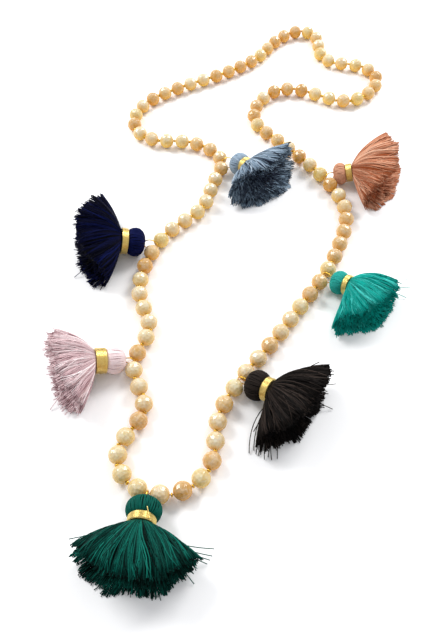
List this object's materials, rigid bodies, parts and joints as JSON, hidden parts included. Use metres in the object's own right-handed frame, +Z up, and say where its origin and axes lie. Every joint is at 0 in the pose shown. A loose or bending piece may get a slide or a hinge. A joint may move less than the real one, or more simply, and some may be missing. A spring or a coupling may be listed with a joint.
{
  "type": "tassel necklace",
  "caption": "Closed string of round drilled stone beads with cotton tassels tied in gold wire, lying as an open crooked loop on a flat surface.",
  "frame": {"origin": "middle of the necklace's box, on the surface that it lies on", "axes": "+Z up, +Y from the loop's low point with the green tassel to its far end, +X to the right"},
  "size_m": [0.1924, 0.3744, 0.0251],
  "materials": {
    "honey_stone": "polished, faceted, slightly translucent",
    "thread": "twisted beading thread",
    "gold_wire": "polished gold plating",
    "green_cotton": "loose cotton threads",
    "pink_cotton": "loose cotton threads",
    "navy_cotton": "loose cotton threads",
    "grey_cotton": "loose cotton threads",
    "rose_cotton": "loose cotton threads",
    "turquoise_cotton": "loose cotton threads",
    "brown_cotton": "loose cotton threads"
  },
  "bodies": {
    "root": {"beads": "honey_stone", "thread": "thread", "green_tassel": "green_cotton", "green_band": "gold_wire", "green_ring": "gold_wire", "pink_tassel": "pink_cotton", "pink_band": "gold_wire", "pink_ring": "gold_wire", "navy_tassel": "navy_cotton", "navy_band": "gold_wire", "navy_ring": "gold_wire", "grey_tassel": "grey_cotton", "grey_band": "gold_wire", "grey_ring": "gold_wire", "rose_tassel": "rose_cotton", "rose_band": "gold_wire", "rose_ring": "gold_wire", "turquoise_tassel": "turquoise_cotton", "turquoise_band": "gold_wire", "turquoise_ring": "gold_wire", "brown_tassel": "brown_cotton", "brown_band": "gold_wire", "brown_ring": "gold_wire"}
  },
  "joints": []
}
